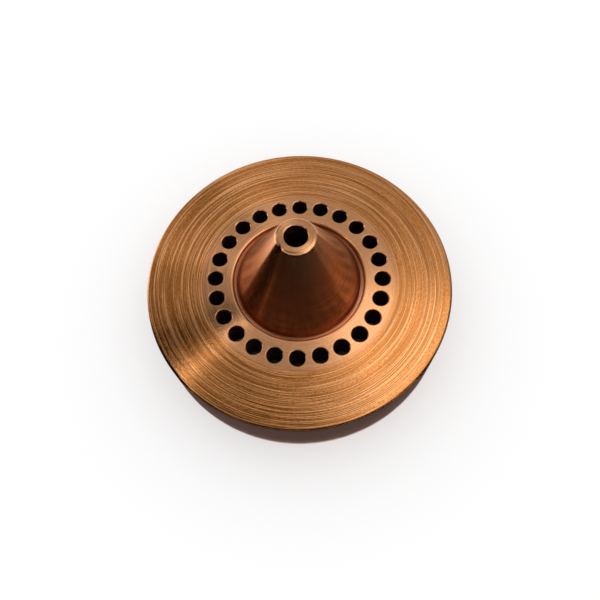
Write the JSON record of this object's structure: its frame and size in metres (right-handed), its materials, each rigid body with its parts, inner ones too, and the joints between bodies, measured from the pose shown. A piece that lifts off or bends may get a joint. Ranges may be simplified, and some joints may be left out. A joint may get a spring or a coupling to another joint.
{
  "type": "plasma torch nozzle",
  "caption": "Turned copper nozzle: a round flange with a ring of gas ports around a cone whose tip carries the orifice of a plasma torch.",
  "frame": {"origin": "on the axis, at the flange's underside", "axes": "+Z along the nozzle's axis, from the underside towards the orifice; one gas port's centre lies on +X"},
  "size_m": [0.04, 0.04, 0.0192],
  "materials": {
    "copper": "turned copper, left as cut"
  },
  "bodies": {
    "root": {"nozzle": "copper"}
  },
  "joints": []
}
